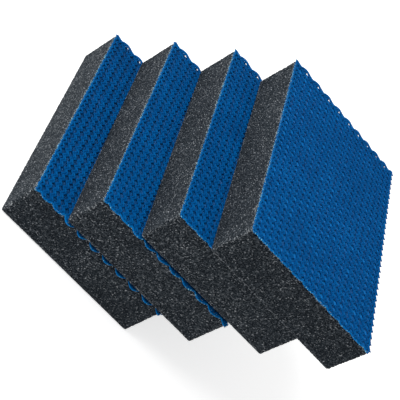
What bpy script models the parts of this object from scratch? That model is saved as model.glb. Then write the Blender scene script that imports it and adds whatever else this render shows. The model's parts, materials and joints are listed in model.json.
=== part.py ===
"""Four flat filter pads, loosely stacked as a staircase with their net faces up.

Each pad is a slab of reticulated foam, a thin bond web and a knitted net face.
Metres, +Z up. X runs across the pads, the way that they step, and Y along them.
The origin is at the middle of the stack's bounding box, on the surface that it rests on.
"""

from math import cos, pi, radians, sin

import bmesh
import bpy
from mathutils import Matrix, Vector

# Driving dimensions
PAD_WIDTH = 0.110
PAD_LENGTH = 0.170
FOAM_THICKNESS = 0.0292
BOND_THICKNESS = 0.0004
NET_THICKNESS = 0.0012
GAP = 0.0003

FOAM_EDGE_RADIUS = 0.0012
FOAM_EDGE_SEGMENTS = 2
BOND_INSET = 0.0006

# The net's holes stand in staggered rows: loops end at the short edges, and teeth at the long ones.
NET_LOOPS = 10
NET_TEETH = 33
NET_LOOP_DEPTH = 0.0012
NET_TOOTH_DEPTH = 0.0008
POINTS_PER_LOOP = 5

# How each pad lies on the one under it, from the bottom up: steps along X and Y, and a turn.
STEPS = (
    {"x": 0.0, "y": 0.0, "turn": radians(-0.6)},
    {"x": 0.0256, "y": -0.0022, "turn": radians(-0.5)},
    {"x": 0.0282, "y": -0.0003, "turn": radians(0.6)},
    {"x": 0.0263, "y": -0.0042, "turn": radians(0.5)},
)

PAD_PITCH = FOAM_THICKNESS + BOND_THICKNESS + NET_THICKNESS + 3 * GAP

FOAM_GREY = (0.022, 0.023, 0.026, 1.0)
BOND_GREY = (0.42, 0.47, 0.50, 1.0)
NET_BLUE = (0.003, 0.075, 0.290, 1.0)


def clear_scene():
    for obj in list(bpy.data.objects):
        bpy.data.objects.remove(obj, do_unlink=True)


def new_collection(name):
    collection = bpy.data.collections.new(name)
    bpy.context.scene.collection.children.link(collection)
    return collection


def principled(name, colour, roughness):
    material = bpy.data.materials.new(name)
    material.use_nodes = True
    material.diffuse_color = colour
    shader = material.node_tree.nodes["Principled BSDF"]
    shader.inputs["Base Color"].default_value = colour
    shader.inputs["Roughness"].default_value = roughness
    shader.inputs["Metallic"].default_value = 0.0
    return material


def slab(name, width, length, thickness, bottom, material):
    """A plain slab, centred on the pad's axis, with its underside at the height bottom."""
    mesh = bpy.data.meshes.new(name)
    shape = bmesh.new()
    bmesh.ops.create_cube(shape, size=1.0)
    bmesh.ops.scale(shape, vec=(width, length, thickness), verts=shape.verts)
    bmesh.ops.translate(shape, vec=(0, 0, bottom + thickness / 2), verts=shape.verts)
    shape.to_mesh(mesh)
    shape.free()
    mesh.materials.append(material)
    return bpy.data.objects.new(name, mesh)


def foam_block(name, material):
    foam = slab(name, PAD_WIDTH, PAD_LENGTH, FOAM_THICKNESS, 0.0, material)
    edges = foam.modifiers.new("cut edges", "BEVEL")
    edges.width = FOAM_EDGE_RADIUS
    edges.segments = FOAM_EDGE_SEGMENTS
    edges.limit_method = "ANGLE"
    return foam


def bond_web(name, material):
    width = PAD_WIDTH - 2 * BOND_INSET
    length = PAD_LENGTH - 2 * BOND_INSET
    return slab(name, width, length, BOND_THICKNESS, FOAM_THICKNESS + GAP, material)


def looped_edge(start, end, loops, depth, points_per_loop):
    """Points from start towards end, with each loop a half wave that stands out to the right."""
    along = end - start
    outward = Vector((along.y, -along.x)).normalized()
    count = loops * points_per_loop
    points = []
    for i in range(count):
        phase = pi * (i % points_per_loop) / points_per_loop
        points.append(start + along * (i / count) + outward * depth * sin(phase))
    return points


def net_outline():
    """The net's cut edge, anticlockwise: round loops on the short sides, teeth on the long ones."""
    half_width = PAD_WIDTH / 2 - NET_TOOTH_DEPTH / 2
    half_length = PAD_LENGTH / 2 - NET_LOOP_DEPTH / 2
    corners = [
        Vector((-half_width, -half_length)),
        Vector((half_width, -half_length)),
        Vector((half_width, half_length)),
        Vector((-half_width, half_length)),
    ]
    short_edge = (NET_LOOPS, NET_LOOP_DEPTH, POINTS_PER_LOOP)
    long_edge = (NET_TEETH, NET_TOOTH_DEPTH, 2)
    points = []
    for i, (loops, depth, points_per_loop) in enumerate((short_edge, long_edge) * 2):
        points += looped_edge(corners[i], corners[(i + 1) % 4], loops, depth, points_per_loop)
    return points


def net_face(name, material):
    """The net as one flat piece of its outer shape, without its holes."""
    curve = bpy.data.curves.new(name, "CURVE")
    curve.dimensions = "2D"
    curve.fill_mode = "BOTH"
    curve.extrude = NET_THICKNESS / 2
    outline = net_outline()
    spline = curve.splines.new("POLY")
    spline.points.add(len(outline) - 1)
    for point, place in zip(spline.points, outline):
        point.co = (place.x, place.y, 0.0, 1.0)
    spline.use_cyclic_u = True
    curve.materials.append(material)
    net = bpy.data.objects.new(name, curve)
    net.location.z = FOAM_THICKNESS + BOND_THICKNESS + 2 * GAP + NET_THICKNESS / 2
    return net


def pad_centres():
    """Each pad's place in the plane, with the middle of the stack's box at zero."""
    centres = []
    place = Vector((0.0, 0.0))
    for step in STEPS:
        place = place + Vector((step["x"], step["y"]))
        centres.append(place)
    lows = []
    highs = []
    for centre, step in zip(centres, STEPS):
        c = cos(abs(step["turn"]))
        s = sin(abs(step["turn"]))
        reach = Vector((PAD_WIDTH * c + PAD_LENGTH * s, PAD_WIDTH * s + PAD_LENGTH * c)) / 2
        lows.append(centre - reach)
        highs.append(centre + reach)
    middle = Vector(
        [(min(low[i] for low in lows) + max(high[i] for high in highs)) / 2 for i in range(2)]
    )
    return [centre - middle for centre in centres]


def build():
    clear_scene()
    pads = new_collection("filter_pads")
    foam_material = principled("foam", FOAM_GREY, 0.95)
    bond_material = principled("bond", BOND_GREY, 0.6)
    net_material = principled("net", NET_BLUE, 0.5)
    for i, (centre, step) in enumerate(zip(pad_centres(), STEPS)):
        name = f"pad_{i + 1}"
        frame = bpy.data.objects.new(name, None)
        frame.matrix_world = Matrix.Translation((centre.x, centre.y, i * PAD_PITCH)) @ Matrix.Rotation(
            step["turn"], 4, "Z"
        )
        pads.objects.link(frame)
        for piece in (
            foam_block(f"{name}_foam", foam_material),
            bond_web(f"{name}_bond", bond_material),
            net_face(f"{name}_net", net_material),
        ):
            piece.parent = frame
            pads.objects.link(piece)


build()
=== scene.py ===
"""The looks of four filter pads: cellular foam, a web of glue and an open knitted net on each."""

import json
import math
import random

import bmesh
import bpy
import numpy as np
from mathutils import Matrix, Vector, noise
from mathutils.geometry import delaunay_2d_cdt

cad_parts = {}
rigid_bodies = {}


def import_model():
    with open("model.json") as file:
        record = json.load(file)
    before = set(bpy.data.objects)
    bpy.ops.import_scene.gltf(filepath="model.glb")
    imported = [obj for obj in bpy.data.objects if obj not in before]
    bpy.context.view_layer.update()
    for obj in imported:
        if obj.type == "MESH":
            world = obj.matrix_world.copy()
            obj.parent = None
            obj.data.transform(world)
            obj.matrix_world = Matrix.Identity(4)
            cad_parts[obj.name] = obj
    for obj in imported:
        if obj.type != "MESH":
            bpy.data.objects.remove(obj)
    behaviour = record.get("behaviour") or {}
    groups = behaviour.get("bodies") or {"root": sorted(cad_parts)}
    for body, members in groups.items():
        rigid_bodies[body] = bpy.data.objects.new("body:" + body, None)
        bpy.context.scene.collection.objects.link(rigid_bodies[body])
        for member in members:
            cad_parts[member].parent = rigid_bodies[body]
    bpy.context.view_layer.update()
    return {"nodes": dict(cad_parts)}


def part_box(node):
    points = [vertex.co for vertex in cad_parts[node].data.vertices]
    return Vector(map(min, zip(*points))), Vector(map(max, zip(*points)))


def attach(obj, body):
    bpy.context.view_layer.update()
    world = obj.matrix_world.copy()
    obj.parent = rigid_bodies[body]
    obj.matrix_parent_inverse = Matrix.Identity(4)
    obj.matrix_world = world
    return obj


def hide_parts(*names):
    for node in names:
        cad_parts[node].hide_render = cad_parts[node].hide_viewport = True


SEED = 7

# The camera, the lights, the floor and the world
CAMERA_AZIMUTH = math.radians(-27.2)
CAMERA_ELEVATION = math.radians(32.3)
CAMERA_ROLL = math.radians(62.2)
CAMERA_DISTANCE = 0.731
CAMERA_LENS = 104.0
CAMERA_AIM = (-0.0021, -0.0055, 0.0542)
LIGHTS = (
    ("key", -100.0, 40.0, 1.8, 1.8, 32.0),
    ("fill", 10.0, 60.0, 2.0, 2.0, 1.0),
)
FLOOR_SIZE = 6.0
FLOOR_DROP = 0.0002
FLOOR_GLOW = 0.65
WORLD_STRENGTH = 0.35

# The foam, in metres: its grids, its rounded edges and how far it rises above the CAD foam
SIDE_GRID = 0.00051
CAP_GRID = 0.0014
CAP_MARGIN = 0.7
CAP_WOBBLE = 0.3
EDGE_RADIUS = 0.0012
CORNER_RADIUS = 0.0016
ARC_STEPS = 4
FOAM_SWELL = 0.0006

# The foam's pores. They follow the cells of a noise, and are shallower on the two faces. Their depth also
# sets the painted shade that darkens the colour in them
FOAM_CELL = 0.00122
DOMAIN_STEP = (0.731, 0.517, 0.293)
PORE_DEPTH = 0.00060
PORE_WALL = (0.02, 0.45)
STRUT_WALL = (0.05, 0.50)
STRUT_FILL = 0.5
FACE_PORES = 0.35
RIM_BAND = (0.0002, 0.0022)
RIM_DEPTH = 0.8
FACING = 0.9

# Painted glints on the foam: pale specks, commoner along its rims and on its lit -X side, dimmed by
# painted shade in the pore hollows, with a faint painted gleam along the rims
GLINT_SHARE = 0.12
RIM_GLINTS = 2
LIT_SIDE = 1.8
GLINT_LEAST = 0.05
GLINT_SPAN = 0.65
GLINT_POWER = 3
RIM_GLEAM = 0.10
PORE_SHADE = 0.6

# Blue lint on each pad's upper face, partly painted light: it is painted lighter on the top pad, where
# the net's holes lie in full light, and darker on the lower pads, which lie in the shade of the pad
# above. It starts a little behind the front rim
LINT_AND_LIGHT = (0.22, 0.42, 0.55, 1.00)
LINT_MARGIN = 0.0016

# The net, in metres: wales run along the pad and lean on each neighbour in turn
WALES = 20
COURSES = 33
STEPS_PER_COURSE = 8
STRAND_SIDES = 8
STRAND_WIDTH = 0.00085
STRAND_HEIGHT = 0.00036
STRAND_OFFSET = 0.00095
ZIGZAG = 0.00096
HOLE_SHARPNESS = 0.62
JOINT_RISE = 0.00020
SIDE_REACH = 0.0005
SELVEDGE_SWING = 0.00035
TOOTH_REACH = 0.0015
TOOTH_GAUGE = 0.00085
STITCH_SWELL = 0.10
REAR_DEPTH = 0.0030
REAR_REACH = 0.0024
FRONT_DEPTH = (0.0055, 0.0030, 0.0014, 0.0010)
FRONT_REACH = (0.0029, 0.0024, 0.0004, 0.0007)
TREAD = (0.022, 0.034)
TREAD_REACH = 0.0010
TREAD_SHARE = 0.35
SCALLOP_SKEW = 0.20
SCALLOP_STEPS = 14
EDGE_GAUGE = 0.8
SECOND_EDGE = 0.0011
END_RADIUS = (0.00020, 0.00034)
END_REACH = (0.0001, 0.0007)
END_STEP = (0.0007, 0.0021)
EDGE_DROOP = 0.0002
NET_ABOVE_FOAM = 0.00002
NET_LEAN = 0.055
NET_SLOPE = 0.014
SWAY = 0.00035
SWAY_ALONG = 61.0
SWAY_SLANT = 23.0
SWAY_ACROSS = 47.0
SWAY_SHIFT = 1.3
NET_MARGIN = 0.001
GAUGE_SPREAD = (0.96, 1.04)
QUIET_SIDE = 0.35
SCALLOP_POWER = 1.9
EDGE_WAVE = 0.5
SECOND_DROP = 0.5
SECOND_FLATNESS = 0.6

# The teeth along the +X selvedge, one at each furthest swing: stations out, stations along and taper
TOOTH_AT = 0.99
TOOTH_OUT = (-0.5, 0.1, 0.6, 1.0)
TOOTH_BACK = (1.3, 0.6, 0.0, -0.45)
TOOTH_LENGTH = 0.001
TOOTH_TAPER = (1.0, 0.95, 0.65, 0.25)
TOOTH_FLATNESS = 0.9
TOOTH_SPREAD = (0.75, 1.15)

# The sealed yarn ends along the -X edge and the front
END_RISE = (-0.0002, 0.0003)
END_TAPER = (1.0, 1.0, 0.4)
END_SLANT = 0.6
END_INSET = 0.0003
END_TUCK = 0.5
END_PALE = (0.15, 1.0)

# Painted highlights: how much lighter the yarn is painted on its crests, at the selvedges and along the
# short ends
CREST_POWER = 3
SELVEDGE_HIGHLIGHT = 0.6
EDGE_HIGHLIGHT = 1.5
SECOND_EDGE_HIGHLIGHT = 0.3

# The glue, in metres
GLUE_THREADS = 900
THREAD_LENGTH = (0.015, 0.045)
THREAD_RADIUS = (0.00011, 0.00024)
THREAD_STEP = 0.0022
SPECK_RADIUS = (0.00008, 0.00024)
SPECK_STEP = (0.0006, 0.0026)
GLUE_SIDES = 4
GLUE_SPAN = (-0.0001, 0.0005)
GLUE_MARGIN = 0.0005
THREAD_HEIGHT = 0.0001
THREAD_WAVE = 0.0001
THREAD_BEND = 0.25
THREAD_WANDER = 0.2
SPECK_STATIONS = (-1.0, -0.6, 0.0, 0.6, 1.0)
SPECK_TAPER = (0.35, 0.85, 1.0, 0.85, 0.35)
SPECK_FLATNESS = 0.8
SPECK_STRETCH = (0.8, 2.4)
SPECK_OUT = (-0.0001, 0.0008)
SPECK_RISE = (-0.0003, 0.0007)

# Noise textures: scale, detail and roughness
FOAM_GRAIN = (1100.0, 2.0, 0.6)
FOAM_MOTTLE = (40.0, 2.0, 0.5)
FOAM_SALT = (1500.0, 0.0, 0.5)
GLUE_CLOUD = (700.0, 2.0, 0.5)
NET_DYE = (45.0, 2.0, 0.5)

# Colour: the grains of salt in the foam, the foam's tone, the cover of lint and a sealed yarn end
SALT_GAIN = 1.5
SALT_CUT = -0.86
FOAM_TONE = 0.52
LINT_CUT = 0.05
LINT_COVER = 0.92
SEALED_END = (0.220, 0.560, 0.700, 1.0)

PADS = ("pad_1", "pad_2", "pad_3", "pad_4")


def node_material(name):
    """A material with its node tree, its links and its Principled shader."""
    material = bpy.data.materials.new(name)
    material.use_nodes = True
    tree = material.node_tree
    return material, tree, tree.nodes["Principled BSDF"]


def ramp(tree, factor, stops):
    """A colour ramp driven by the socket factor. stops are (position, colour)."""
    node = tree.nodes.new("ShaderNodeValToRGB")
    elements = node.color_ramp.elements
    while len(elements) < len(stops):
        elements.new(0.5)
    for element, (position, colour) in zip(elements, stops):
        element.position = position
        element.color = (*colour, 1.0)
    tree.links.new(factor, node.inputs["Fac"])
    return node.outputs["Color"]


def noise_texture(tree, coordinates, scale, detail, roughness):
    node = tree.nodes.new("ShaderNodeTexNoise")
    node.inputs["Scale"].default_value = scale
    node.inputs["Detail"].default_value = detail
    node.inputs["Roughness"].default_value = roughness
    tree.links.new(coordinates, node.inputs["Vector"])
    return node.outputs["Fac"]


def math_node(tree, operation, *operands):
    node = tree.nodes.new("ShaderNodeMath")
    node.operation = operation
    for socket, value in zip(node.inputs, operands):
        if isinstance(value, (int, float)):
            socket.default_value = value
        else:
            tree.links.new(value, socket)
    return node.outputs[0]


def bump(tree, shader, height, strength, distance):
    node = tree.nodes.new("ShaderNodeBump")
    node.inputs["Strength"].default_value = strength
    node.inputs["Distance"].default_value = distance
    tree.links.new(height, node.inputs["Height"])
    tree.links.new(node.outputs["Normal"], shader.inputs["Normal"])


def attribute(tree, name):
    node = tree.nodes.new("ShaderNodeAttribute")
    node.attribute_name = name
    return node.outputs["Fac"]


def foam_material():
    """Charcoal open-cell foam: grey struts, painted shade in the pores, painted glints as pale specks,
    and blue fibres where the net lies, painted lighter on the top pad and darker on the lower pads for
    the light and shade in the net's holes.
    """
    material, tree, shader = node_material("charcoal_foam")
    place = tree.nodes.new("ShaderNodeTexCoord").outputs["Object"]
    # Painted shade: the colour is darker in the pores
    raised = math_node(tree, "SUBTRACT", 1.0, attribute(tree, "pore_shade"))
    grain = noise_texture(tree, place, *FOAM_GRAIN)
    mottle = noise_texture(tree, place, *FOAM_MOTTLE)
    salt = noise_texture(tree, place, *FOAM_SALT)
    salt = math_node(tree, "MULTIPLY_ADD", salt, SALT_GAIN, SALT_CUT)
    salt = math_node(tree, "MAXIMUM", salt, 0.0)
    mixed = math_node(tree, "MULTIPLY", raised, math_node(tree, "ADD", grain, 0.5))
    mixed = math_node(tree, "MULTIPLY", mixed, math_node(tree, "MULTIPLY_ADD", mottle, 0.4, 0.8))
    mixed = math_node(tree, "MULTIPLY", mixed, FOAM_TONE)
    # Painted glints, and a painted gleam along the rims
    mixed = math_node(tree, "ADD", mixed, attribute(tree, "glint"))
    mixed = math_node(tree, "ADD", mixed, salt)
    colour = ramp(
        tree,
        mixed,
        (
            (0.03, (0.0055, 0.0080, 0.0115)),
            (0.32, (0.0132, 0.0180, 0.0235)),
            (0.60, (0.0420, 0.0500, 0.0580)),
            (1.00, (0.300, 0.315, 0.330)),
        ),
    )
    tinted = tree.nodes.new("ShaderNodeMix")
    tinted.data_type = "RGBA"
    # Blue lint, painted lighter on the top pad and darker on the lower pads, for the light and shade in
    # the net's holes
    lint_and_light = attribute(tree, "lint_and_light")
    covered = math_node(tree, "GREATER_THAN", lint_and_light, LINT_CUT)
    covered = math_node(tree, "MULTIPLY", covered, LINT_COVER)
    tree.links.new(covered, tinted.inputs["Factor"])
    tree.links.new(colour, tinted.inputs["A"])
    fluff_and_light = ramp(tree, lint_and_light, ((0.0, (0.002, 0.030, 0.110)), (1.0, (0.004, 0.215, 0.640))))
    tree.links.new(fluff_and_light, tinted.inputs["B"])
    tree.links.new(tinted.outputs["Result"], shader.inputs["Base Color"])
    shader.inputs["Roughness"].default_value = 0.9
    shader.inputs["Specular IOR Level"].default_value = 0.1
    bump(tree, shader, grain, 0.4, 0.0003)
    return material


def glue_material():
    """Glue: blue under the net, where it takes up the dye, and pale in the specks at the rim."""
    material, tree, shader = node_material("glue")
    place = tree.nodes.new("ShaderNodeTexCoord").outputs["Object"]
    cloud = noise_texture(tree, place, *GLUE_CLOUD)
    shade = math_node(tree, "MULTIPLY", attribute(tree, "rim"), math_node(tree, "ADD", cloud, 0.4))
    colour = ramp(
        tree,
        shade,
        (
            (0.0, (0.004, 0.120, 0.390)),
            (0.5, (0.100, 0.190, 0.250)),
            (1.0, (0.440, 0.540, 0.580)),
        ),
    )
    tree.links.new(colour, shader.inputs["Base Color"])
    shader.inputs["Roughness"].default_value = 0.45
    shader.inputs["Specular IOR Level"].default_value = 0.3
    return material


def net_material():
    """Blue yarn: filaments run along each strand, the dye varies a little, a painted highlight lies on
    the crests, the selvedges and the edge strands, and sealed ends are pale.
    """
    material, tree, shader = node_material("blue_yarn")
    place = tree.nodes.new("ShaderNodeTexCoord").outputs["Object"]
    along = tree.nodes.new("ShaderNodeUVMap")
    along.uv_map = "strand"
    filaments = tree.nodes.new("ShaderNodeTexWave")
    filaments.wave_type = "BANDS"
    filaments.bands_direction = "DIAGONAL"
    filaments.inputs["Scale"].default_value = 1.6
    filaments.inputs["Distortion"].default_value = 1.5
    filaments.inputs["Detail"].default_value = 1.0
    tree.links.new(along.outputs["UV"], filaments.inputs["Vector"])
    dye = noise_texture(tree, place, *NET_DYE)
    tone = math_node(tree, "MULTIPLY_ADD", filaments.outputs["Fac"], 0.16, 0.26)
    tone = math_node(tree, "MULTIPLY_ADD", dye, 0.4, tone)
    # Painted highlight: lighter on the crests, the selvedges and the edge strands
    tone = math_node(tree, "MULTIPLY_ADD", attribute(tree, "lift_and_highlight"), 0.25, tone)
    colour = ramp(
        tree,
        tone,
        (
            (0.20, (0.0006, 0.054, 0.188)),
            (0.60, (0.0008, 0.090, 0.308)),
            (1.00, (0.0025, 0.180, 0.520)),
        ),
    )
    sealed = tree.nodes.new("ShaderNodeMix")
    sealed.data_type = "RGBA"
    tree.links.new(attribute(tree, "melt"), sealed.inputs["Factor"])
    tree.links.new(colour, sealed.inputs["A"])
    sealed.inputs["B"].default_value = SEALED_END
    tree.links.new(sealed.outputs["Result"], shader.inputs["Base Color"])
    shader.inputs["Roughness"].default_value = 0.55
    shader.inputs["Specular IOR Level"].default_value = 0.05
    shader.inputs["Specular Tint"].default_value = (0.02, 0.35, 1.0, 1.0)
    bump(tree, shader, filaments.outputs["Fac"], 0.35, 0.0002)
    return material


def slab_frame(node):
    """The frame of a plain CAD slab: the middle of its plan at height 0, turned as the slab is."""
    corners = [v.co for v in node.data.vertices]
    south_west = min(corners, key=lambda p: p.x + p.y)
    south_east = max(corners, key=lambda p: p.x - p.y)
    north_west = min(corners, key=lambda p: p.x - p.y)
    across = south_east - south_west
    along = north_west - south_west
    middle = south_west + (across + along) / 2
    turn = math.atan2(across.y, across.x)
    return Matrix.Translation((middle.x, middle.y, 0.0)) @ Matrix.Rotation(turn, 4, "Z")


def outer_size(node_name, turn):
    """A turned slab's width and length, from its box."""
    low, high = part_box(node_name)
    c = math.cos(abs(turn))
    s = math.sin(abs(turn))
    return Matrix(((c, s), (s, c))).inverted() @ (high - low).xy


def link(name, mesh, frame, material):
    mesh.materials.append(material)
    piece = bpy.data.objects.new(name, mesh)
    bpy.context.scene.collection.objects.link(piece)
    piece.matrix_world = frame
    return piece


def smooth_step(value, low, high):
    share = min(1.0, max(0.0, (value - low) / (high - low)))
    return share * share * (3.0 - 2.0 * share)


def outline(width, length):
    """A rounded rectangle as two lists: points on its inner frame, and the outward direction at each."""
    half = (width / 2 - CORNER_RADIUS, length / 2 - CORNER_RADIUS)
    frame = []
    outward = []
    for corner in range(4):
        start = Matrix.Rotation(corner * math.pi / 2, 2)
        centre = Vector((half[0] * (1, -1, -1, 1)[corner], half[1] * (1, 1, -1, -1)[corner]))
        for i in range(ARC_STEPS):
            angle = math.pi / 2 * i / ARC_STEPS
            frame.append(centre)
            outward.append(start @ Vector((math.cos(angle), math.sin(angle))))
        following = Vector((half[0] * (-1, -1, 1, 1)[corner], half[1] * (1, -1, -1, 1)[corner]))
        steps = round((following - centre).length / SIDE_GRID)
        for i in range(steps):
            frame.append(centre.lerp(following, i / steps))
            outward.append(start @ Vector((0.0, 1.0)))
    return np.array(frame), np.array(outward)


def side_rings(low, high):
    """(how far in from the outer face, height) of each ring, up over both rounded rims."""
    rim = [math.pi / 2 * i / ARC_STEPS for i in range(ARC_STEPS)]
    lower = [(EDGE_RADIUS * (1 - math.sin(a)), low + EDGE_RADIUS * (1 - math.cos(a))) for a in rim]
    upper = [(inset, high + low - height) for inset, height in reversed(lower)]
    span = high - low - 2 * EDGE_RADIUS
    steps = round(span / SIDE_GRID)
    sides = [(0.0, low + EDGE_RADIUS + span * i / steps) for i in range(steps + 1)]
    return lower + sides + upper


def cap(loop, rng):
    """Triangles over a flat loop, on a coarser grid. Returns the new points and the faces, in which
    the first numbers are the loop's."""
    reach = np.abs(loop).max(axis=0) - CAP_GRID * CAP_MARGIN
    columns, rows = (np.ceil(2 * reach / CAP_GRID)).astype(int)
    inner = []
    for i in range(columns + 1):
        for j in range(rows + 1):
            x = reach[0] * (2 * i / columns - 1)
            y = reach[1] * (2 * j / rows - 1)
            inside = 0 < i < columns and 0 < j < rows
            wobble = CAP_GRID * CAP_WOBBLE if inside else 0.0
            inner.append((x + rng.uniform(-wobble, wobble), y + rng.uniform(-wobble, wobble)))
    points = [Vector(p) for p in [*loop, *inner]]
    rim = [(i, (i + 1) % len(loop)) for i in range(len(loop))]
    result = delaunay_2d_cdt(points, rim, [], 1, 1e-7)
    source = [ids[0] for ids in result[3]]
    return np.array(inner), [tuple(source[i] for i in face) for face in result[2]]


def block_mesh(name, width, length, low, high, rng):
    """A closed block with rounded edges: a fine grid on its sides, and a coarser one on its two faces."""
    frame, outward = outline(width, length)
    rings = side_rings(low, high)
    count = len(frame)
    points = []
    faces = []
    for inset, height in rings:
        plan = frame + outward * (CORNER_RADIUS - inset)
        points.append(np.column_stack([plan, np.full(count, height)]))
    for ring in range(len(rings) - 1):
        base = ring * count
        for i in range(count):
            after = (i + 1) % count
            faces.append((base + i, base + after, base + count + after, base + count + i))
    used = len(rings) * count
    for first, height, turned in ((0, low, True), (used - count, high, False)):
        loop = points[first // count][:, :2]
        inner, triangles = cap(loop, rng)
        for face in triangles:
            numbers = [first + i if i < count else used + i - count for i in face]
            faces.append(tuple(reversed(numbers)) if turned else tuple(numbers))
        points.append(np.column_stack([inner, np.full(len(inner), height)]))
        used += len(inner)
    mesh = bpy.data.meshes.new(name)
    mesh.from_pydata(np.concatenate(points), [], faces)
    mesh.update()
    return mesh


def foam_mesh(name, width, length, low, high, lint_and_light_share, domain, rng):
    """The block pitted with pores, with the strengths at each point of the painted shade in the pores, of
    the painted glints, and of the blue fibres with their painted light and shade.
    """
    mesh = block_mesh(name, width, length, low, high, rng)
    count = len(mesh.vertices)
    depths = np.zeros(count, np.float32)
    specks = np.zeros(count, np.float32)
    lint_and_light = np.zeros(count, np.float32)
    places = [v.co.copy() for v in mesh.vertices]
    normals = [v.normal.copy() for v in mesh.vertices]
    centre = Vector((0.0, 0.0, (low + high) / 2))
    half = Vector((width / 2, length / 2, (high - low) / 2))
    for i, place in enumerate(places):
        distances, _ = noise.voronoi((place + domain) / FOAM_CELL)
        hollow = smooth_step(distances[1] - distances[0], *PORE_WALL)
        strut = 1.0 - smooth_step(distances[2] - distances[0], *STRUT_WALL)
        depths[i] = hollow * (1.0 - STRUT_FILL * strut)
        gaps = sorted(half[k] - abs(place[k] - centre[k]) for k in range(3))
        edge = 1.0 - smooth_step(gaps[1], *RIM_BAND)
        # Painted glints: commoner at the rims and on the lit -X side, and dimmed in the pore hollows as
        # painted shade
        lit = LIT_SIDE if normals[i].x < -FACING else 1.0
        shade = 1.0 - PORE_SHADE * hollow
        if rng.random() < GLINT_SHARE * (1 + RIM_GLINTS * edge) * lit:
            specks[i] = (GLINT_LEAST + GLINT_SPAN * rng.random() ** GLINT_POWER) * shade
        specks[i] += RIM_GLEAM * edge * shade
        on_face = abs(normals[i].z) > FACING
        # Lint strength per pad, painted lighter on the top pad and darker on the lower pads for the light
        # and shade in the net's holes
        lint_and_light[i] = lint_and_light_share if normals[i].z > FACING and place.y > LINT_MARGIN - length / 2 else 0.0
        sunk = depths[i] * PORE_DEPTH * (FACE_PORES if on_face else 1.0 + RIM_DEPTH * edge)
        mesh.vertices[i].co = place - normals[i] * sunk
    # The pore depths also set the painted shade in the pores
    for label, values in (("pore_shade", depths), ("glint", specks), ("lint_and_light", lint_and_light)):
        mesh.attributes.new(label, "FLOAT", "POINT").data.foreach_set("value", values)
    mesh.update()
    mesh.shade_smooth()
    return mesh


class Tubes:
    """Oval tubes gathered into one mesh, each closed at both ends."""

    def __init__(self, sides):
        self.sides = sides
        self.points = []
        self.faces = []
        self.uvs = []
        self.count = 0

    def add(self, path, width, height):
        """Adds a tube along a path. width and height are half sizes, one number or one for each point."""
        sides = self.sides
        tangent = np.gradient(path, axis=0)
        tangent /= np.linalg.norm(tangent, axis=1)[:, None]
        side = np.cross((0.0, 0.0, 1.0), tangent)
        side /= np.linalg.norm(side, axis=1)[:, None]
        above = np.cross(tangent, side)
        angles = np.arange(sides) * 2 * math.pi / sides
        wide = side * np.broadcast_to(width, len(path))[:, None]
        tall = above * np.broadcast_to(height, len(path))[:, None]
        cosines = np.cos(angles)[:, None]
        sines = np.sin(angles)[:, None]
        rings = path[:, None] + wide[:, None] * cosines + tall[:, None] * sines
        self.points.append(rings.reshape(-1, 3))
        steps = np.linalg.norm(np.diff(path, axis=0), axis=1)
        travelled = np.concatenate([[0.0], np.cumsum(steps)]) / (2 * np.mean(width))
        first = self.count
        for end, ring in ((0, range(sides - 1, -1, -1)), (len(path) - 1, range(sides))):
            self.faces.append(tuple(first + end * sides + k for k in ring))
            self.uvs.extend([(travelled[end], k / sides) for k in ring])
        for i in range(len(path) - 1):
            base = first + i * sides
            near, far = travelled[i], travelled[i + 1]
            for k in range(sides):
                after = (k + 1) % sides
                self.faces.append((base + k, base + after, base + sides + after, base + sides + k))
                low, high = k / sides, (k + 1) / sides
                self.uvs.extend([(near, low), (near, high), (far, high), (far, low)])
        self.count += len(path) * sides

    def mesh(self, name):
        mesh = bpy.data.meshes.new(name)
        mesh.from_pydata(np.concatenate(self.points), [], self.faces)
        layer = mesh.uv_layers.new(name="strand")
        layer.data.foreach_set("uv", np.array(self.uvs, np.float32).ravel())
        mesh.shade_smooth()
        return mesh


def scallop(x, pitch):
    """How far a net's short edge stands out at x, from 0 in a notch to 1 at the crown of a loop."""
    share = np.mod(x / (2 * pitch) + 0.5, 1.0) * 2 - 1
    share = share + SCALLOP_SKEW * (1 - share**2)
    return 1 - np.abs(share) ** SCALLOP_POWER


def front_edge(x, width, pitch, depth, reach):
    """How far the front edge lies behind its furthest crown at x. It is trimmed closer on the part of
    the net that the next pad leaves bare, which is the first part of the width."""
    under = np.clip((x + width / 2 - TREAD[0]) / (TREAD[1] - TREAD[0]), 0.0, 1.0)
    trimmed = max(0.0, reach - TREAD_REACH) * (1 - under)
    return trimmed + depth * (TREAD_SHARE + (1 - TREAD_SHARE) * under) * (1 - scallop(x, pitch))


def lain(path, width, length):
    """The path as the net lies on the pad: leaning a little, with both long edges straight."""
    x = path[:, 0]
    y = path[:, 1]
    inside = np.clip(1 - (2 * x / width) ** 2, 0.0, 1.0)
    between = np.clip(1 - (2 * y / length) ** 2, 0.0, 1.0)
    sway = SWAY * np.sin(y * SWAY_ALONG + x * SWAY_SLANT) * np.sin(x * SWAY_ACROSS + SWAY_SHIFT)
    return np.column_stack(
        [x + (NET_LEAN * y + sway) * inside, y + (NET_SLOPE * x + sway) * between, path[:, 2]]
    )


def add_end(tubes, melts, start, heading, middle, width, length, rng):
    """A cut yarn end, sealed by heat: a small pale bead that stands out from the net's edge."""
    reach = rng.uniform(*END_REACH)
    radius = rng.uniform(*END_RADIUS)
    height = middle + rng.uniform(*END_RISE)
    stations = (0.0, reach, reach + radius)
    path = np.array([(start[0] + heading[0] * t, start[1] + heading[1] * t, height) for t in stations])
    thickness = radius * np.array(END_TAPER)
    tubes.add(lain(path, width, length), thickness, thickness)
    melts.append(np.full(len(path) * STRAND_SIDES, rng.uniform(*END_PALE)))


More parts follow.
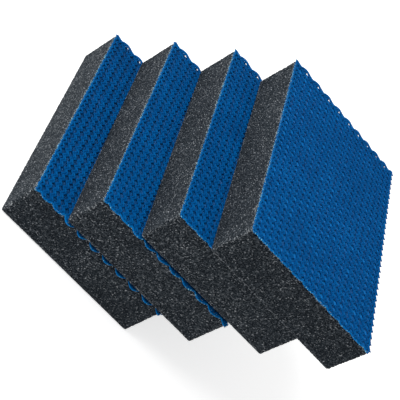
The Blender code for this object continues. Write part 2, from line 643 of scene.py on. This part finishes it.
def net_mesh(name, width, length, foam_top, front_depth, front_reach, rng):
    """The knitted net: in each wale two strands lie side by side, and the wale leans on its left and
    its right neighbour in turn, which leaves staggered oval holes. Two looped strands bind each short
    end, teeth stand along the +X selvedge, and sealed ends along the -X edge and the front."""
    pitch = (width + 2 * SIDE_REACH) / WALES
    front = -(length / 2 + front_reach - STRAND_WIDTH * EDGE_GAUGE)
    rear = length / 2 + REAR_REACH - STRAND_WIDTH * EDGE_GAUGE
    middle = foam_top + NET_ABOVE_FOAM + STRAND_HEIGHT + JOINT_RISE
    y = np.linspace(front, rear, COURSES * STEPS_PER_COURSE + 1)
    phase = 2 * math.pi * COURSES * (y - front) / (rear - front)
    tubes = Tubes(STRAND_SIDES)
    highlights = []
    for wale in range(WALES):
        centre = (wale - (WALES - 1) / 2) * pitch
        swing = 1 if wale % 2 == 0 else -1
        for side in (-1, 1):
            at_selvedge = (wale, side) in ((0, -1), (WALES - 1, 1))
            towards = swing * side * np.cos(phase)
            shaped = 1 - 2 * ((1 - towards) / 2) ** HOLE_SHARPNESS
            reach = SELVEDGE_SWING * (1 + towards) if at_selvedge else ZIGZAG * shaped
            x = centre + side * (STRAND_OFFSET + reach)
            # The strand's rise, which also sets its painted highlight
            lift_and_highlight = swing * np.sin(phase) * (1.0 if side > 0 else QUIET_SIDE)
            z = middle + JOINT_RISE * lift_and_highlight
            swell = 1 + STITCH_SWELL * np.cos(2 * phase + side)
            gauge = rng.uniform(*GAUGE_SPREAD)
            ahead = front + front_edge(x, width, pitch, front_depth, front_reach)
            keep = (y > ahead) & (y < rear - REAR_DEPTH * (1 - scallop(x, pitch)))
            path = np.column_stack([x, y, z])[keep]
            kept = swell[keep]
            tubes.add(lain(path, width, length), STRAND_WIDTH * gauge * kept, STRAND_HEIGHT * kept)
            # Painted highlight: the crests are painted lighter, and the selvedges lighter all along
            crest_highlight = np.clip(lift_and_highlight, 0.0, 1.0) ** CREST_POWER
            highlight = np.full(len(y), SELVEDGE_HIGHLIGHT) if at_selvedge else crest_highlight
            highlights.append(np.repeat(highlight[keep], STRAND_SIDES))
            if at_selvedge and side > 0:
                for turn in np.flatnonzero((towards > TOOTH_AT) & keep):
                    out = np.array(TOOTH_OUT) * TOOTH_REACH * rng.uniform(*TOOTH_SPREAD)
                    back = np.array(TOOTH_BACK) * TOOTH_LENGTH
                    level = np.full(len(out), middle)
                    tooth = np.column_stack([x[turn] + side * out, y[turn] + back, level])
                    taper = TOOTH_GAUGE * np.array(TOOTH_TAPER)
                    tubes.add(lain(tooth, width, length), taper, STRAND_HEIGHT * TOOTH_FLATNESS)
                    highlights.append(np.full(len(tooth) * STRAND_SIDES, SELVEDGE_HIGHLIGHT))
    for inward in (1, -1):
        steps = WALES // 2 * SCALLOP_STEPS
        x = np.linspace(-width / 2 + NET_MARGIN, width / 2 - NET_MARGIN, steps + 1)
        bow = scallop(x, pitch)
        wave = EDGE_WAVE * JOINT_RISE * np.cos(x * 2 * math.pi / pitch)
        at_front = front + front_edge(x, width, pitch, front_depth, front_reach)
        edge = at_front if inward > 0 else rear - REAR_DEPTH * (1 - bow)
        path = np.column_stack([x, edge, middle + wave - EDGE_DROOP * bow])
        tubes.add(lain(path, width, length), STRAND_WIDTH * EDGE_GAUGE, STRAND_HEIGHT)
        # Painted highlight on the strands that bind the short ends
        highlights.append(np.full(len(path) * STRAND_SIDES, EDGE_HIGHLIGHT))
        inner = path + (0.0, SECOND_EDGE * inward, -SECOND_DROP * STRAND_HEIGHT)
        height = SECOND_FLATNESS * STRAND_HEIGHT
        tubes.add(lain(inner, width, length), STRAND_WIDTH * EDGE_GAUGE, height)
        highlights.append(np.full(len(inner) * STRAND_SIDES, SECOND_EDGE_HIGHLIGHT))
    knitted = tubes.count
    melts = []
    near_side = -(WALES - 1) / 2 * pitch - STRAND_OFFSET - SELVEDGE_SWING - STRAND_WIDTH
    place = front + NET_MARGIN
    while place < rear - NET_MARGIN:
        start = (near_side + END_INSET, place)
        heading = (-1.0, rng.uniform(-END_SLANT, END_SLANT))
        add_end(tubes, melts, start, heading, middle, width, length, rng)
        place += rng.uniform(*END_STEP)
    place = -width / 2 + NET_MARGIN
    while place < width / 2 - NET_MARGIN:
        edge = front + front_edge(place, width, pitch, front_depth, front_reach)
        start = (place, edge - STRAND_WIDTH * END_TUCK)
        heading = (rng.uniform(-END_SLANT, END_SLANT), -1.0)
        add_end(tubes, melts, start, heading, middle, width, length, rng)
        place += 2 * rng.uniform(*END_STEP)
    mesh = tubes.mesh(name)
    melted = np.concatenate([np.zeros(knitted), *melts]).astype(np.float32)
    values = np.concatenate([*highlights, np.zeros(tubes.count - knitted)]).astype(np.float32)
    mesh.attributes.new("lift_and_highlight", "FLOAT", "POINT").data.foreach_set("value", values)
    mesh.attributes.new("melt", "FLOAT", "POINT").data.foreach_set("value", melted)
    return mesh


def glue_mesh(name, width, length, low, high, rng):
    """A web of fine glue threads over the face, with irregular specks squeezed out along its rim."""
    tubes = Tubes(GLUE_SIDES)
    middle = (low + high) / 2
    for _ in range(GLUE_THREADS):
        x = rng.uniform(-0.5, 0.5) * width
        y = rng.uniform(-0.5, 0.5) * length
        heading = rng.uniform(0.0, 2 * math.pi)
        bend = rng.uniform(-THREAD_BEND, THREAD_BEND)
        path = []
        for _ in range(round(rng.uniform(*THREAD_LENGTH) / THREAD_STEP)):
            if abs(x) > width / 2 - GLUE_MARGIN or abs(y) > length / 2 - GLUE_MARGIN:
                break
            path.append((x, y, middle + THREAD_WAVE * math.sin(heading * 3)))
            x += THREAD_STEP * math.cos(heading)
            y += THREAD_STEP * math.sin(heading)
            heading += bend + rng.uniform(-THREAD_WANDER, THREAD_WANDER)
        if len(path) > 2:
            tubes.add(np.array(path), rng.uniform(*THREAD_RADIUS), THREAD_HEIGHT)
    threads = tubes.count
    for axis, across, along in ((0, length, width), (1, width, length)):
        for side in (-1, 1):
            place = -along / 2
            while place < along / 2:
                size = rng.uniform(*SPECK_RADIUS)
                half = size * rng.uniform(*SPECK_STRETCH)
                out = side * (across / 2 + rng.uniform(*SPECK_OUT))
                rise = middle + rng.uniform(*SPECK_RISE)
                path = np.array([(half * t, 0.0, rise) for t in SPECK_STATIONS])
                path[:, 1] += out
                path[:, 0] += place
                thick = size * np.array(SPECK_TAPER)
                tubes.add(path if axis == 0 else path[:, [1, 0, 2]], thick, thick * SPECK_FLATNESS)
                place += rng.uniform(*SPECK_STEP)
    mesh = tubes.mesh(name)
    rim = np.zeros(tubes.count, np.float32)
    rim[threads:] = 1.0
    mesh.attributes.new("rim", "FLOAT", "POINT").data.foreach_set("value", rim)
    return mesh


def build_pad(name, index, nodes, materials):
    """The foam, the glue and the net of one pad, each in the place of its CAD solid."""
    rng = random.Random(SEED + index)
    frame = slab_frame(nodes[f"{name}_bond"])
    turn = frame.to_euler().z
    foam_low, foam_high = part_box(f"{name}_foam")
    foam_top = foam_high.z + FOAM_SWELL
    width, length = outer_size(f"{name}_foam", turn)
    domain = Vector([index * step for step in DOMAIN_STEP])
    foam = link(
        f"{name}_cellular_foam",
        foam_mesh(f"{name}_cellular_foam", width, length, foam_low.z, foam_top, LINT_AND_LIGHT[index], domain, rng),
        frame,
        materials["foam"],
    )
    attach(foam, name)
    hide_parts(f"{name}_foam")
    glue_low, glue_high = (foam_top + height for height in GLUE_SPAN)
    glue = link(
        f"{name}_glue_web",
        glue_mesh(f"{name}_glue_web", width, length, glue_low, glue_high, rng),
        frame,
        materials["glue"],
    )
    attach(glue, name)
    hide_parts(f"{name}_bond")
    front = (FRONT_DEPTH[index], FRONT_REACH[index])
    net = link(
        f"{name}_knitted_net",
        net_mesh(f"{name}_knitted_net", width, length, foam_top, *front, rng),
        frame,
        materials["net"],
    )
    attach(net, name)
    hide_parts(f"{name}_net")


def make_floor():
    mesh = bpy.data.meshes.new("floor")
    shape = bmesh.new()
    bmesh.ops.create_grid(shape, x_segments=1, y_segments=1, size=FLOOR_SIZE)
    bmesh.ops.translate(shape, vec=(0.0, 0.0, -FLOOR_DROP), verts=shape.verts)
    shape.to_mesh(mesh)
    shape.free()
    material, _, shader = node_material("pale_floor")
    shader.inputs["Base Color"].default_value = (0.9, 0.9, 0.9, 1.0)
    shader.inputs["Roughness"].default_value = 0.9
    shader.inputs["Emission Color"].default_value = (1.0, 1.0, 1.0, 1.0)
    shader.inputs["Emission Strength"].default_value = FLOOR_GLOW
    mesh.materials.append(material)
    floor = bpy.data.objects.new("floor", mesh)
    bpy.context.scene.collection.objects.link(floor)


def make_light(name, azimuth, elevation, distance, size, power):
    """An area light aimed at the object. Azimuth and elevation are in degrees."""
    light = bpy.data.lights.new(name, "AREA")
    light.size = size
    light.energy = power
    lamp = bpy.data.objects.new(name, light)
    bpy.context.scene.collection.objects.link(lamp)
    back = direction_to(math.radians(azimuth), math.radians(elevation))
    lamp.location = Vector(CAMERA_AIM) + back * distance
    lamp.rotation_euler = back.to_track_quat("Z", "Y").to_euler()


def direction_to(azimuth, elevation):
    """The direction from the object to a viewer at that azimuth and elevation."""
    return Vector(
        (
            math.sin(azimuth) * math.cos(elevation),
            -math.cos(azimuth) * math.cos(elevation),
            math.sin(elevation),
        )
    )


def make_camera():
    data = bpy.data.cameras.new("camera")
    data.lens = CAMERA_LENS
    data.clip_start = 0.05
    data.clip_end = 50.0
    camera = bpy.data.objects.new("camera", data)
    bpy.context.scene.collection.objects.link(camera)
    back = direction_to(CAMERA_AZIMUTH, CAMERA_ELEVATION)
    level = back.to_track_quat("Z", "Y").to_matrix().to_4x4()
    roll = Matrix.Rotation(CAMERA_ROLL, 4, "Z")
    camera.matrix_world = Matrix.Translation(Vector(CAMERA_AIM) + back * CAMERA_DISTANCE) @ level @ roll
    bpy.context.scene.camera = camera


def make_world():
    world = bpy.data.worlds.new("studio")
    world.use_nodes = True
    background = world.node_tree.nodes["Background"]
    background.inputs["Color"].default_value = (1.0, 1.0, 1.0, 1.0)
    background.inputs["Strength"].default_value = WORLD_STRENGTH
    bpy.context.scene.world = world


bpy.context.scene.view_settings.view_transform = "Standard"
for old in list(bpy.data.objects):
    bpy.data.objects.remove(old, do_unlink=True)
frame_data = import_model()
make_camera()
make_world()
make_floor()
for lamp_values in LIGHTS:
    make_light(*lamp_values)
looks = {"foam": foam_material(), "glue": glue_material(), "net": net_material()}
for number, pad in enumerate(PADS):
    build_pad(pad, number, frame_data["nodes"], looks)
